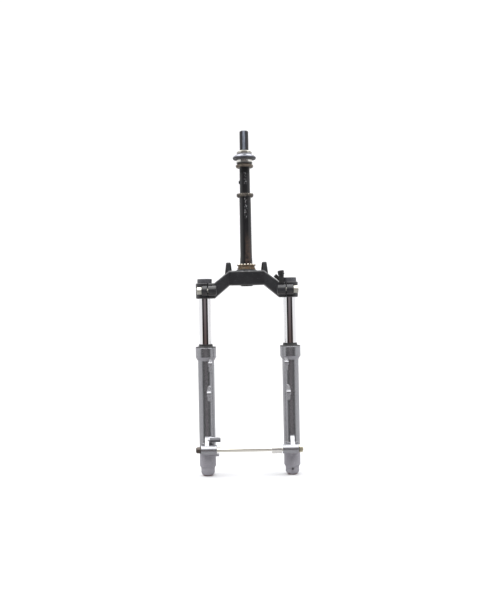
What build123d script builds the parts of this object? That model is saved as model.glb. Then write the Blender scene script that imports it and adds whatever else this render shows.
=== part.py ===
from build123d import *
import math
import os

# Telescopic front fork of a light moped or scooter, in millimetres.
# Origin: on the steering axis, at the crown's top face. +Z runs up the stem, -Y is the
# front of the machine, +X is the rider's left. Heights are measured from the crown's top.
# The fork is drawn fully extended.

# ---------------------------------------------------------------- driving dimensions
LEFT, RIGHT = 1, -1    # rider's left leg stands at +X
SIDES = [("left", LEFT), ("right", RIGHT)]

LEG_X = 107.0          # steering axis to each leg axis
LEG_Y = -32.0          # crown offset: the legs stand in front of the steering axis
FIT = 0.05             # radial play between parts that run or press together

STEM_BASE_D = 33.0
STEM_D = 30.4
STEM_NECK_D = 29.6     # just below the bearing shoulder
STEM_THREAD_D = 26.6
STEM_TOP_D = 23.0
STEM_BORE_D = 16.0
STEM_FOOT_Z = -39.5
SHOULDER_Z = 192.0
SPIGOT_Z = 310.0
STEM_TOP_Z = 361.0
THREAD_Z = 250.0       # lowest turn of the headset thread
THREAD_PITCH = 1.25
THREAD_DEPTH = 0.55
LOCK_PEG_Z = 229.0     # peg for the steering lock, on the rider's right of the stem
LOCK_PEG_D = 8.6
LOCK_PEG_REACH = 2.5   # how far the peg stands out of the stem

RACE_TOP_Z = 12.0      # top of the lower bearing's inner race
LOWER_BALL_D, LOWER_PITCH_D, LOWER_BALLS, LOWER_BALL_Z = 6.35, 40.0, 16, 14.8
UPPER_BALL_D, UPPER_PITCH_D, UPPER_BALLS = 4.76, 38.8, 24
RETAINER_Z = SHOULDER_Z + 0.2    # the loose upper retainer rests on the stem's shoulder
UPPER_BALL_Z = RETAINER_Z + 4.6
CUP_LOW_Z, CUP_TOP_Z, CUP_D = 266.6, 273.4, 45.0
CONE_LOW_Z, CONE_TOP_Z = 276.0, 301.8
CONE_RACE_D = 41.0
SKIRT_D, SKIRT_Z = 60.2, 291.0   # widest turn of the dust skirt
LOCK_NUT_AF = 36.0               # across flats

CROWN_DEPTH = 37.0     # thickness of the middle of the crown
CROWN_HUB_D = 54.0
CROWN_EDGE_R = 5.0
CLAMP_TOP_Z = -31.0
CLAMP_FOOT_Z = -70.0
CLAMP_R = 22.5
PINCH_Y = LEG_Y - 26.0
PINCH_Z = -50.5
PINCH_BOSS_R = 12.5
PINCH_INNER = 31.0     # inner end of the pinch boss, from the leg axis towards the wheel
PINCH_SEATS = {LEFT: 9.5, RIGHT: 6.0}  # seat of each bolt head, from the leg axis outwards
PINCH_HEAD_D = 18.5
PINCH_HEAD_LEN = 12.3
PINCH_BOLT_D = 10.0
SLIT_X = 9.0           # slit of the clamp, from the leg axis towards the wheel
SLIT_W = 2.4
EAR_X, EAR_Y = 45.9, -14.0
EAR_TOP_Z = 22.0
EAR_FOOT = (14.6, 20.0)          # width and depth of an ear where it leaves the crown
EAR_TIP = (10.8, 13.0)
EAR_TURN = 20.0

# Hose guide, on the rider's left arm beside the clamp.
GUIDE_X, GUIDE_Y = 87.2, -48.2
GUIDE_FOOT_Z, GUIDE_TOP_Z = -36.0, -12.5
GUIDE_SLEEVE_D = 13.0
GUIDE_HEAD_D, GUIDE_HEAD_LEN = 16.0, 10.5
GUIDE_LEAN = 10.0                # lean of the head towards the stem, in degrees
GUIDE_SCREW_D = 6.0
GUIDE_COUNTERBORE_D, GUIDE_SEAT_Z = 9.4, -9.0

STANCHION_D = 31.0
STANCHION_BORE_D = 26.0
STANCHION_TOP_Z = -24.0
STANCHION_FOOT_Z = -390.0
LEG_CAP_D, LEG_CAP_TOP_Z = 37.0, -20.0
PLUG_Z = -44.0         # underside of the top plug, where the main spring bears
PLUG_TOP_Z = -29.9
PLUG_GROOVE = (-39.2, -36.4)     # the plug's O-ring groove, low and high
PLUG_CLIP_GROOVE = (-29.8, -28.2)
DAMPER_HEAD_Z = -335.0
DAMPER_HEAD_LEN = 15.0
ROD_D = 14.0

SLIDER_TOP_Z = -193.8
SLIDER_D = 41.5
SLIDER_BORE_D = 34.0
COLLAR_D = 52.0
COLLAR_FOOT_Z = -218.4
COLLAR_TAPER = 8.6     # length of the taper from the collar to the tube
SEAL_BORE_D = 43.0
SEAL_FLOOR_Z = -210.0
OIL_SEAL = (-208.5, -198.6)      # foot and top of the oil seal, on its backup washer
SEAL_CLIP_GROOVE = (-198.5, -197.0)
DUST_PLUG_Z = -196.5   # how far down the dust seal reaches into the slider's mouth
BUSH_SEAT_D = 36.1
BUSH_SEAT_Z = -230.1
BORE_FOOT_Z = -488.0   # where the slider's bore narrows to the oil pocket
TOE_D = 34.8
TOE_Z = -498.0
FLOOR_Z = -505.0       # bottom of the oil pocket
SLIDER_FOOT_Z = -516.0
POCKET_D = 25.0
DRAIN_Z = -502.0       # oil drain in the toe of the rider's left leg
DRAIN_HEAD_D = 5.4

AXLE_Y = LEG_Y - 33.0  # the axle leads the legs
AXLE_Z = -448.0
AXLE_D = 12.0
AXLE_BOSS_R = 12.0
AXLE_BOSS_IN = 25.0    # reach of the axle boss towards the wheel
AXLE_BOSS_OUT = 15.0
LUG_REACH = 34.0       # speedometer stop, from the leg axis towards the wheel
AXLE_RIGHT_X = -LEG_X - AXLE_BOSS_OUT    # outer face of the rider's right boss
AXLE_LEFT_X = LEG_X + AXLE_BOSS_OUT
AXLE_START_X, AXLE_END_X = -134.6, 133.4
AXLE_HEAD_D = 16.0
AXLE_WASHER_D, WASHER_T = 19.0, 1.3
AXLE_NUT_AF, AXLE_NUT_LEN = 17.0, 8.4
SPACER_D = 23.0
SPACER_X0, SPACER_X1 = 54.3, 79.8

MUDGUARD_Y = LEG_Y - 21.5
MUDGUARD_BOSS_D = 13.0
MUDGUARD_BOSS_LEN = 10.5
MUDGUARD_GUSSET = 19.0 # reach of a gusset above and below its boss
MUDGUARD_HOLE_D = 5.0
MUDGUARD_BOSSES = [    # height, then inner face measured from the leg axis
    (-234.0, 16.5),
    (-309.0, 12.5),
]

# Half of the crown as sections across X: (x, middle y, depth, top, bottom).
CROWN_SECTIONS = [
    (0.0, -3.0, 56.0, 0.0, -CROWN_DEPTH),
    (44.0, -9.0, 46.0, 0.0, -CROWN_DEPTH),
    (82.0, -30.0, 40.0, CLAMP_TOP_Z - 0.1, CLAMP_FOOT_Z),
    (101.0, -32.0, 42.0, CLAMP_TOP_Z - 0.1, CLAMP_FOOT_Z),
]

os.makedirs("parts", exist_ok=True)


# ---------------------------------------------------------------- helpers
def turned(outline):
    """A solid of revolution about Z from a closed outline of (radius, height) points."""
    profile = Polyline(*[(r, 0, z) for r, z in outline], close=True)
    return revolve(make_face(profile), Axis.Z)


def rod(diameter, low, high):
    """A round bar on the Z axis between two heights."""
    return Pos(0, 0, (low + high) / 2) * Cylinder(diameter / 2, high - low)


def tube(outer, inner, low, high):
    """A round tube on the Z axis between two heights."""
    return rod(outer, low, high) - rod(inner, low - 1, high + 1)


def cross_rod(diameter, start, end, y=0.0, z=0.0):
    """A round bar parallel to X between two X positions."""
    middle = Pos((start + end) / 2, y, z)
    return middle * Rot(0, 90, 0) * Cylinder(diameter / 2, abs(end - start))


def block(x0, x1, y0, y1, z0, z1):
    """A box given by its two corners."""
    centre = Pos((x0 + x1) / 2, (y0 + y1) / 2, (z0 + z1) / 2)
    return centre * Box(abs(x1 - x0), abs(y1 - y0), abs(z1 - z0))


def hexagon_bar(across_flats, length):
    """A hexagonal bar standing on Z = 0."""
    outline = RegularPolygon(across_flats / 2, 6, major_radius=False)
    return extrude(outline, length)


def plate_yz(points, x0, x1):
    """A plate whose outline is given by (y, z) points, between two X positions."""
    outline = Polyline(*[(x0, y, z) for y, z in points], close=True)
    return extrude(make_face(outline), amount=x1 - x0, dir=(1, 0, 0))


def coil(mean_d, wire_d, low, high, turns):
    """A helical spring of round wire on the Z axis, between two heights."""
    rise = high - low - wire_d
    path = Pos(0, 0, low + wire_d / 2) * Edge.make_helix(rise / turns, rise, mean_d / 2)
    wire = Plane(origin=path @ 0, z_dir=path % 0) * Circle(wire_d / 2)
    return sweep(wire, path=path, is_frenet=True)


def at_leg(side, shape):
    """Moves a shape drawn on the Z axis onto a leg axis."""
    return Pos(side * LEG_X, LEG_Y, 0) * shape


def save(name, shape):
    """Writes one named piece, or one named group of identical pieces."""
    shape.label = name
    export_step(shape, f"parts/{name}.step")


# ---------------------------------------------------------------- steering stem and crown
def steering_stem():
    base_r, body_r, neck_r = STEM_BASE_D / 2, STEM_D / 2, STEM_NECK_D / 2
    thread_r, top_r, bore_r = STEM_THREAD_D / 2, STEM_TOP_D / 2, STEM_BORE_D / 2
    outline = [
        (bore_r, STEM_FOOT_Z), (base_r - 2, STEM_FOOT_Z), (base_r - 1, STEM_FOOT_Z + 1),
        (base_r - 1, 12.2), (base_r - 0.6, 14), (body_r + 0.9, 24), (body_r, 40),
        (neck_r, SHOULDER_Z - 1), (neck_r - 0.6, SHOULDER_Z), (thread_r, SHOULDER_Z),
    ]
    turns = int((SPIGOT_Z - THREAD_Z) / THREAD_PITCH)
    for turn in range(turns):
        root = THREAD_Z + turn * THREAD_PITCH
        outline.append((thread_r, root))
        outline.append((thread_r - THREAD_DEPTH, root + THREAD_PITCH / 2))
    outline += [
        (thread_r - THREAD_DEPTH, SPIGOT_Z), (top_r, SPIGOT_Z + 1),
        (top_r, STEM_TOP_Z - 2), (top_r - 2, STEM_TOP_Z), (bore_r + 0.6, STEM_TOP_Z),
        (bore_r, STEM_TOP_Z - 0.6),
    ]
    peg = cross_rod(LOCK_PEG_D, -thread_r - LOCK_PEG_REACH, -thread_r + 2.5, 0, LOCK_PEG_Z)
    peg = fillet(peg.edges().filter_by(GeomType.CIRCLE), 1.1)
    return turned(outline) + peg


def crown_arm(side):
    sections = []
    for x, y, depth, top, bottom in CROWN_SECTIONS:
        plane = Plane(origin=(side * x, y, (top + bottom) / 2), x_dir=(0, 1, 0), z_dir=(1, 0, 0))
        sections.append(plane * RectangleRounded(depth, top - bottom, CROWN_EDGE_R))
    return loft(sections, ruled=True)


def crown_clamp(side):
    """The split clamp at the end of an arm, drawn on the leg axis."""
    barrel = rod(2 * CLAMP_R, CLAMP_FOOT_Z, CLAMP_TOP_Z)
    barrel = fillet(barrel.edges().filter_by(GeomType.CIRCLE), 2.5)
    inner, outer = -side * PINCH_INNER, side * PINCH_SEATS[side]
    boss = cross_rod(2 * PINCH_BOSS_R, inner, outer, PINCH_Y - LEG_Y, PINCH_Z)
    boss = fillet(boss.edges().filter_by(GeomType.CIRCLE), 3)
    cheek = block(inner + side * 4, outer, PINCH_Y - LEG_Y, 0, PINCH_Z - 12, PINCH_Z + 12)
    return barrel + boss + cheek


def crown_clamp_cuts(side):
    """Bore, slit, bolt hole and bolt-head pocket of a clamp, drawn on the leg axis."""
    y, seat = PINCH_Y - LEG_Y, PINCH_SEATS[side]
    bore = rod(STANCHION_D + 2 * FIT, CLAMP_FOOT_Z - 1, CLAMP_TOP_Z + 1)
    slit_x = -side * SLIT_X
    slit = block(slit_x - SLIT_W / 2, slit_x + SLIT_W / 2, y - 20, 0,
                 CLAMP_FOOT_Z - 1, CLAMP_TOP_Z + 1)
    hole = cross_rod(PINCH_BOLT_D + 2 * FIT, -side * (PINCH_INNER - 5),
                     side * (seat + 1), y, PINCH_Z)
    pocket = cross_rod(PINCH_HEAD_D + 1.5, side * seat, side * (seat + 30), y, PINCH_Z)
    return bore + slit + hole + pocket


def crown_ear(side):
    """A tapered lug with a round tip, turned so that its inner face looks forward."""
    foot = Pos(0, 0, -8) * RectangleRounded(*EAR_FOOT, 2.5)
    tip = Pos(0, 0, EAR_TOP_Z) * RectangleRounded(*EAR_TIP, 4.8)
    lug = loft([foot, tip])
    lug = fillet(lug.edges().sort_by(Axis.Z)[-8:], 3.6)
    return Pos(side * EAR_X, EAR_Y, 0) * Rot(0, 0, side * EAR_TURN) * lug


def fork_crown():
    hub = rod(CROWN_HUB_D, -CROWN_DEPTH, 0)
    body = hub + crown_arm(LEFT) + crown_arm(RIGHT)
    for side in (LEFT, RIGHT):
        body += at_leg(side, crown_clamp(side)) + crown_ear(side)
    for side in (LEFT, RIGHT):
        body -= at_leg(side, crown_clamp_cuts(side))
    # The stem is pressed into the hub.
    body -= rod(STEM_BASE_D - 2 + 2 * FIT, -CROWN_DEPTH - 1, 1)
    # Pilot for the hose guide's screw.
    body -= Pos(GUIDE_X, GUIDE_Y, 0) * rod(GUIDE_SCREW_D + 2 * FIT, -60, CLAMP_TOP_Z + 5)
    return body


def hose_guide():
    """Moulded guide: sleeve on the arm, leaning head, and a foot on the arm's slope."""
    sleeve = rod(GUIDE_SLEEVE_D, GUIDE_FOOT_Z, GUIDE_TOP_Z + 1)
    head = rod(GUIDE_HEAD_D, -1.5, GUIDE_HEAD_LEN)
    head = fillet(head.edges().sort_by(Axis.Z)[-1], 3)
    head = fillet(head.edges().sort_by(Axis.Z)[0], 1.2)
    head = Pos(0, 0, GUIDE_TOP_Z) * Rot(0, -GUIDE_LEAN, 0) * head
    foot = Pos(-10, 3, -20) * Rot(0, 42, 0) * Box(17, 12, 9)
    foot = fillet(foot.edges(), 1.2)
    shape = sleeve + head + foot
    shape -= rod(GUIDE_SCREW_D + 2 * FIT, GUIDE_FOOT_Z - 1, GUIDE_TOP_Z + 2 * GUIDE_HEAD_LEN)
    shape -= rod(GUIDE_COUNTERBORE_D, GUIDE_SEAT_Z, GUIDE_TOP_Z + 2 * GUIDE_HEAD_LEN)
    # The underside is moulded to the arm that it stands on.
    seat = crown_arm(LEFT) + at_leg(LEFT, crown_clamp(LEFT))
    return Pos(GUIDE_X, GUIDE_Y, 0) * shape - Pos(0, 0, FIT) * seat


def hose_guide_screw():
    """Socket screw sunk in the guide's head and threaded into the arm."""
    shank = rod(GUIDE_SCREW_D, -58, GUIDE_SEAT_Z + 0.5)
    head = rod(GUIDE_COUNTERBORE_D - 0.4, GUIDE_SEAT_Z + FIT, GUIDE_SEAT_Z + 5)
    head = fillet(head.edges().sort_by(Axis.Z)[-1], 0.8)
    socket = Pos(0, 0, GUIDE_SEAT_Z + 2.6) * hexagon_bar(4, 4)
    return Pos(GUIDE_X, GUIDE_Y, 0) * (shank + head - socket)


# ---------------------------------------------------------------- steering bearings
def stem_dust_seal():
    return turned([
        (STEM_BASE_D / 2, 0.05), (26.5, 0.05), (26.5, 1.6), (24.5, 3.2),
        (STEM_BASE_D / 2, 3.2),
    ])


def crown_race():
    """Inner race of the lower bearing, with a groove that the balls run in."""
    inner = STEM_BASE_D / 2 - 1 + FIT
    ring = turned([
        (inner, 3.3), (22.4, 3.3), (23, 3.9), (23, 7.5), (21.6, 8.4), (21.6, RACE_TOP_Z),
        (inner, RACE_TOP_Z),
    ])
    groove = Pos(0, 0, LOWER_BALL_Z) * Torus(LOWER_PITCH_D / 2, LOWER_BALL_D / 2 + 0.08)
    return ring - groove


def ball_ring(ball_d, pitch_d, count, height):
    """A ring of loose balls."""
    balls = []
    for index in range(count):
        angle = 2 * math.pi * (index + 0.5) / count
        place = Pos(pitch_d / 2 * math.cos(angle), pitch_d / 2 * math.sin(angle), height)
        balls.append(place * Sphere(ball_d / 2))
    return Compound(children=balls)


def ball_cage(outline, ball_d, pitch_d, count, height):
    """A pressed retainer with one round window for each ball."""
    cage = turned(outline)
    for index in range(count):
        angle = 2 * math.pi * (index + 0.5) / count
        place = Pos(pitch_d / 2 * math.cos(angle), pitch_d / 2 * math.sin(angle), height)
        cage -= place * Sphere(ball_d / 2 + 0.08)
    return cage


def lower_bearing_cage():
    outline = [(16.9, 13.2), (24, 13.2), (24, 16.2), (23.1, 16.2), (23.1, 14.3), (16.9, 14.3)]
    return ball_cage(outline, LOWER_BALL_D, LOWER_PITCH_D, LOWER_BALLS, LOWER_BALL_Z)


def upper_bearing_cage():
    """Saucer-shaped retainer: an inner flange on the shoulder and a windowed wall."""
    low = RETAINER_Z
    inner = STEM_THREAD_D / 2 + 0.25
    outline = [
        (inner, low), (15.3, low), (17.2, low - 2), (19.6, low - 2), (21.7, low + 0.6),
        (21.7, low + 6.2), (20.7, low + 6.2), (20.7, low + 1), (19.2, low - 0.9),
        (17.6, low - 0.9), (15.7, low + 1.1), (inner, low + 1.1),
    ]
    return ball_cage(outline, UPPER_BALL_D, UPPER_PITCH_D, UPPER_BALLS, UPPER_BALL_Z)


def upper_cup():
    """Frame cup of the upper bearing, loose on the stem under the adjusting cone."""
    low, top, outer = CUP_LOW_Z, CUP_TOP_Z, CUP_D / 2
    inner = STEM_THREAD_D / 2 + 0.9
    cup = turned([
        (inner, low + 1.6), (17.6, low + 0.9), (18.4, low), (20.8, low), (outer, low + 1.6),
        (outer, top - 1), (outer - 1, top), (17.2, top), (inner, low + 3.4),
    ])
    groove = Pos(0, 0, top + 1.5) * Torus(UPPER_PITCH_D / 2, UPPER_BALL_D / 2 + 0.1)
    return cup - groove


def top_cone():
    """Adjusting cone: polished race below, dust skirt above it, round collar on top."""
    thread_r = STEM_THREAD_D / 2 + FIT
    race_r, rim, rim_r = CONE_RACE_D / 2, SKIRT_Z, SKIRT_D / 2
    return turned([
        (thread_r, CONE_LOW_Z), (race_r - 2.6, CONE_LOW_Z), (race_r, CONE_LOW_Z + 1.6),
        (race_r, rim - 4), (race_r + 1.2, rim - 2.2), (rim_r - 2.4, rim - 3),
        (rim_r - 0.9, rim - 2.6), (rim_r, rim), (rim_r - 0.6, rim + 2.6),
        (rim_r - 3.8, rim + 5.2), (21.4, rim + 8.2), (19.4, rim + 9),
        (19.2, CONE_TOP_Z), (thread_r, CONE_TOP_Z),
    ])


def lock_nut():
    """Lock nut: six flats under a turned chamfer."""
    low, high = CONE_TOP_Z + 0.1, SPIGOT_Z
    blank = Pos(0, 0, low) * hexagon_bar(LOCK_NUT_AF, high - low)
    corner_r = LOCK_NUT_AF / 2 + 1.5
    envelope = turned([(0, low), (corner_r, low), (corner_r, low + 4),
                       (STEM_THREAD_D / 2 + 0.4, high), (0, high)])
    return (blank & envelope) - rod(STEM_THREAD_D + 2 * FIT, low - 1, high + 1)


# ---------------------------------------------------------------- what the crown holds
def stanchion():
    """Chromed tube: clip groove at the top, bush seat and rolled-in lip at the foot."""
    outer, inner = STANCHION_D / 2, STANCHION_BORE_D / 2
    lip = ROD_D / 2 + 0.1
    foot = STANCHION_FOOT_Z
    groove_low, groove_high = PLUG_CLIP_GROOVE
    return turned([
        (inner, STANCHION_TOP_Z), (outer - 0.8, STANCHION_TOP_Z),
        (outer, STANCHION_TOP_Z - 0.8), (outer, foot + 19), (outer - 0.7, foot + 19),
        (outer - 0.7, foot + 2), (outer, foot + 2), (outer - 1, foot), (lip, foot),
        (lip, foot + 4), (inner, foot + 4), (inner, groove_low), (inner + 0.8, groove_low),
        (inner + 0.8, groove_high), (inner, groove_high),
    ])


def leg_cap():
    """Moulded cap over the leg's top, standing on the clamp."""
    cap = rod(LEG_CAP_D, CLAMP_TOP_Z + 0.05, LEG_CAP_TOP_Z)
    cap = fillet(cap.edges().sort_by(Axis.Z)[-1], 1.6)
    return cap - rod(STANCHION_D + 2 * FIT, CLAMP_TOP_Z - 1, STANCHION_TOP_Z + FIT)


def top_plug():
    """Plug that closes the stanchion and carries the main spring."""
    outer = STANCHION_BORE_D / 2 - FIT
    low, high = PLUG_GROOVE
    hollow_z = PLUG_TOP_Z - 3.1
    return turned([
        (0, PLUG_Z), (8.4, PLUG_Z), (8.4, PLUG_Z + 0.1), (outer - 1, PLUG_Z + 0.1),
        (outer, PLUG_Z + 1), (outer, low), (outer - 2.4, low), (outer - 2.4, high),
        (outer, high), (outer, PLUG_TOP_Z), (5, PLUG_TOP_Z), (5, hollow_z), (0, hollow_z),
    ])


def plug_o_ring():
    section = 2.3
    return Pos(0, 0, sum(PLUG_GROOVE) / 2) * Torus((STANCHION_BORE_D - section) / 2 - FIT, section / 2)


def plug_clip():
    """Round-wire clip with a gap, sprung into the stanchion's groove."""
    height = sum(PLUG_CLIP_GROOVE) / 2 - 0.05
    ring = Pos(0, 0, height) * Torus(STANCHION_BORE_D / 2, 0.7)
    return ring - block(8, 16, -3, 3, height - 2, height + 2)


def main_spring():
    return coil(20.4, 3.6, DAMPER_HEAD_Z + 0.1, PLUG_Z - 0.1, 28)


def slide_bush():
    """Split bush in the stanchion's seat, running in the slider's bore."""
    foot = STANCHION_FOOT_Z
    ring = tube(SLIDER_BORE_D - 2 * FIT, STANCHION_D - 1.4 + 2 * FIT, foot + 2.1, foot + 18.9)
    return ring - block(10, 20, -0.8, 0.8, foot, foot + 20)


def pinch_bolt(side):
    """Cap screw across a clamp, drawn on the leg axis."""
    y, seat = PINCH_Y - LEG_Y, side * (PINCH_SEATS[side] + 0.05)
    head_end = side * (PINCH_SEATS[side] + PINCH_HEAD_LEN)
    head = cross_rod(PINCH_HEAD_D, seat, head_end, y, PINCH_Z)
    head = fillet(head.edges().filter_by(GeomType.CIRCLE), 1.2)
    shank = cross_rod(PINCH_BOLT_D, -side * (PINCH_INNER - 6), seat + side, y, PINCH_Z)
    socket = Pos(head_end, y, PINCH_Z) * Rot(0, -side * 90, 0) * hexagon_bar(8, 6)
    return head + shank - socket


# ---------------------------------------------------------------- lower legs
def slider_body():
    """Outside and bore of a slider as one turned shape, drawn on the leg axis."""
    outer, bore = SLIDER_D / 2, SLIDER_BORE_D / 2
    collar, seal, toe = COLLAR_D / 2, SEAL_BORE_D / 2, TOE_D / 2
    bush = BUSH_SEAT_D / 2
    top = SLIDER_TOP_Z
    clip_low, clip_top = SEAL_CLIP_GROOVE
    shape = turned([
        (0, SLIDER_FOOT_Z), (12.6, SLIDER_FOOT_Z), (15.2, SLIDER_FOOT_Z + 2.2),
        (toe, SLIDER_FOOT_Z + 6.5), (toe, TOE_Z), (outer, TOE_Z + 5),
        (outer, COLLAR_FOOT_Z - COLLAR_TAPER),
        (collar, COLLAR_FOOT_Z), (collar, top - 0.8), (collar - 0.8, top),
        (seal, top), (seal, clip_top), (seal + 1, clip_top), (seal + 1, clip_low),
        (seal, clip_low),
        (seal, SEAL_FLOOR_Z), (bush, SEAL_FLOOR_Z), (bush, BUSH_SEAT_Z), (bore, BUSH_SEAT_Z),
        (bore, BORE_FOOT_Z), (POCKET_D / 2, BORE_FOOT_Z), (POCKET_D / 2, FLOOR_Z),
        (0, FLOOR_Z),
    ])
    return shape - rod(8.4, SLIDER_FOOT_Z - 1, FLOOR_Z + 1)


def axle_boss(side):
    """Leading boss for the wheel axle with its web and its front rib."""
    inner, outer = -side * AXLE_BOSS_IN, side * AXLE_BOSS_OUT
    y = AXLE_Y - LEG_Y
    boss = cross_rod(2 * AXLE_BOSS_R, inner, outer, y, AXLE_Z)
    boss = fillet(boss.edges().filter_by(GeomType.CIRCLE), 1.2)
    low_x, high_x = sorted([-side * 17.0, side * 14.0])
    web = plate_yz([
        (y + 2, AXLE_Z + 11.6), (-10, AXLE_Z + 14), (-10, AXLE_Z - 17),
        (-17, AXLE_Z - 15), (y + 4, AXLE_Z - 11),
    ], low_x, high_x)
    rib = plate_yz([
        (y - 6.5, AXLE_Z + 9.4), (-24, AXLE_Z + 30), (-12, AXLE_Z + 32.5), (-12, AXLE_Z)
    ], -5.2, 5.2)
    return boss + web + rib


def mudguard_boss(side, height, inner):
    """Sideways boss with slim gussets that run out into the tube."""
    y, half = MUDGUARD_Y - LEG_Y, MUDGUARD_BOSS_D / 2
    face, back = -side * inner, -side * (inner - MUDGUARD_BOSS_LEN)
    boss = cross_rod(MUDGUARD_BOSS_D, back, face, y, height)
    boss = fillet(boss.edges().filter_by(GeomType.CIRCLE), 0.8)
    low_x, high_x = sorted([back + side * -1.5, face + side * 1.0])
    front, tip, reach = y - 3, -19.8, MUDGUARD_GUSSET
    gusset = plate_yz([
        (-12, height + reach + 1), (tip, height + reach), (front, height + half - 2),
        (front, height - half + 2), (tip, height - reach), (-12, height - reach - 1),
    ], low_x, high_x)
    return boss + gusset


def mudguard_hole(side, height, inner):
    face = -side * (inner + 1)
    return cross_rod(MUDGUARD_HOLE_D, face, -side * (inner - 11), MUDGUARD_Y - LEG_Y, height)


def speedometer_lugs():
    """Two stops on the rider's right leg that keep the hub's drive from turning."""
    low, top = AXLE_Z + 18.6, AXLE_Z + 31
    bar = plate_yz([
        (-30, low), (-30, low + 5.4), (-26, top), (-17, top), (-17, low),
    ], 2, LUG_REACH)
    slope = Pos(LUG_REACH, -24, top + 4.6) * Rot(0, 9, 0) * Box(80, 30, 15)
    bar = fillet((bar - slope).edges().filter_by(Axis.Y), 1.0)
    tab = block(8, LUG_REACH - 3.8, -36, -14, AXLE_Z - 15.8, AXLE_Z - 11.8)
    tab = fillet(tab.edges().filter_by(Axis.X), 1.0)
    return bar + tab


def drain_gusset():
    """Short web under the axle boss of the rider's left leg."""
    return plate_yz([
        (-28, AXLE_Z - 10), (-12, AXLE_Z - 10), (-12, AXLE_Z - 26), (-19.5, AXLE_Z - 23),
    ], -4.6, -1.2)


def slider(side):
    shape = slider_body() + axle_boss(side)
    for height, inner in MUDGUARD_BOSSES:
        shape += mudguard_boss(side, height, inner)
    if side == RIGHT:
        shape += speedometer_lugs()
    else:
        shape += drain_gusset()
        shape -= Pos(0, -TOE_D / 2, DRAIN_Z) * Rot(90, 0, 0) * Cylinder(2.5 + FIT, 14)
    # Webs and bosses must not reach into the bore or the guide bush's seat.
    shape -= rod(SLIDER_BORE_D, BORE_FOOT_Z, BUSH_SEAT_Z)
    shape -= rod(BUSH_SEAT_D, BUSH_SEAT_Z, SEAL_FLOOR_Z)
    for height, inner in MUDGUARD_BOSSES:
        shape -= mudguard_hole(side, height, inner)
    shape -= cross_rod(AXLE_D + 2 * FIT, -40, 40, AXLE_Y - LEG_Y, AXLE_Z)
    return shape


def guide_bush():
    """Split bush in the slider's mouth, running on the stanchion."""
    low, high = BUSH_SEAT_Z + 0.1, SEAL_FLOOR_Z - 0.1
    ring = tube(BUSH_SEAT_D - 2 * FIT, STANCHION_D + 2 * FIT, low, high)
    return ring - block(10, 20, -0.8, 0.8, low - 1, high + 1)


def backup_washer():
    return tube(SEAL_BORE_D - 2 * FIT, STANCHION_D + 1.0, SEAL_FLOOR_Z, OIL_SEAL[0] - 0.1)


def oil_seal():
    """Lipped seal: a ring with a hollow back where its garter spring sits."""
    outer = SEAL_BORE_D / 2 - FIT
    lip = STANCHION_D / 2 + FIT
    low, high = OIL_SEAL
    return turned([
        (lip, low + 0.5), (lip + 1.6, low), (outer, low), (outer, high),
        (lip + 0.4, high), (lip, high - 1), (lip + 0.8, high - 2.9), (lip + 0.8, low + 2.5),
    ])


def seal_clip():
    """Flat spring ring that holds the oil seal down, with its gap."""
    low, high = SEAL_CLIP_GROOVE[0] + 0.1, SEAL_CLIP_GROOVE[1] - 0.1
    ring = tube(SEAL_BORE_D + 1.6, SEAL_BORE_D - 4, low, high)
    return ring - block(15, 25, -4, 4, low - 1, high + 1)


def dust_seal():
    """Wiper: a plug in the slider's mouth, a thin flange on its rim and a tall lip."""
    lip = STANCHION_D / 2 + FIT
    top = SLIDER_TOP_Z + 0.05
    return turned([
        (lip + 1.5, DUST_PLUG_Z), (SEAL_BORE_D / 2 - FIT, DUST_PLUG_Z),
        (SEAL_BORE_D / 2 - FIT, top),
        (25.6, top), (25.6, top + 1.3), (25, top + 1.9), (19.4, top + 2.2),
        (18.5, top + 3.2), (17.2, top + 8.6), (lip, top + 8.6), (lip, top + 6.4),
        (lip + 1.5, top + 4),
    ])


def damper_rod():
    """Hollow rod with its piston head; oil passes through its cross holes."""
    head, foot = DAMPER_HEAD_Z, FLOOR_Z
    low = head - DAMPER_HEAD_LEN
    groove = 10.9
    shape = turned([
        (4.05, foot + 0.05), (ROD_D / 2, foot + 0.05), (ROD_D / 2, low), (12.6, low),
        (12.6, low + 4), (groove, low + 4), (groove, low + 11), (12.6, low + 11),
        (12.6, head), (4.05, head),
    ])
    for height in (low - 20, foot + 30):
        shape -= Pos(0, 0, height) * Rot(0, 90, 0) * Cylinder(1.5, 40)
    return shape


def piston_ring():
    """Split ring in the damper head's groove."""
    low = DAMPER_HEAD_Z - DAMPER_HEAD_LEN
    ring = tube(STANCHION_BORE_D - 2 * FIT, 21.9, low + 4.1, low + 10.9)
    return ring - block(8, 16, -0.6, 0.6, low, low + 15)


def rebound_spring():
    top = DAMPER_HEAD_Z - DAMPER_HEAD_LEN - 0.1
    return coil(19.2, 2.6, STANCHION_FOOT_Z + 4.1, top, 6)


def oil_lock():
    """Cone-shaped sleeve round the rod's foot, standing on the pocket's floor."""
    inner = ROD_D / 2 + FIT
    return turned([
        (inner, FLOOR_Z + 0.05), (12.4, FLOOR_Z + 0.05), (12.4, -490), (10, -483),
        (inner, -483),
    ])


def bottom_washer():
    return tube(24.6, 8.4, SLIDER_FOOT_Z - 0.85, SLIDER_FOOT_Z - 0.05)


def bottom_bolt():
    """Flat-headed bolt that draws the damper rod onto the slider's floor."""
    low, high = SLIDER_FOOT_Z - 2, SLIDER_FOOT_Z - 0.9
    head = turned([(0, low), (10.4, low), (11.6, low + 0.6), (11.6, high), (0, high)])
    shank = rod(8, high - 0.5, -478)
    socket = Pos(0, 0, low - 0.1) * hexagon_bar(6, 5)
    return head + shank - socket


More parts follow.
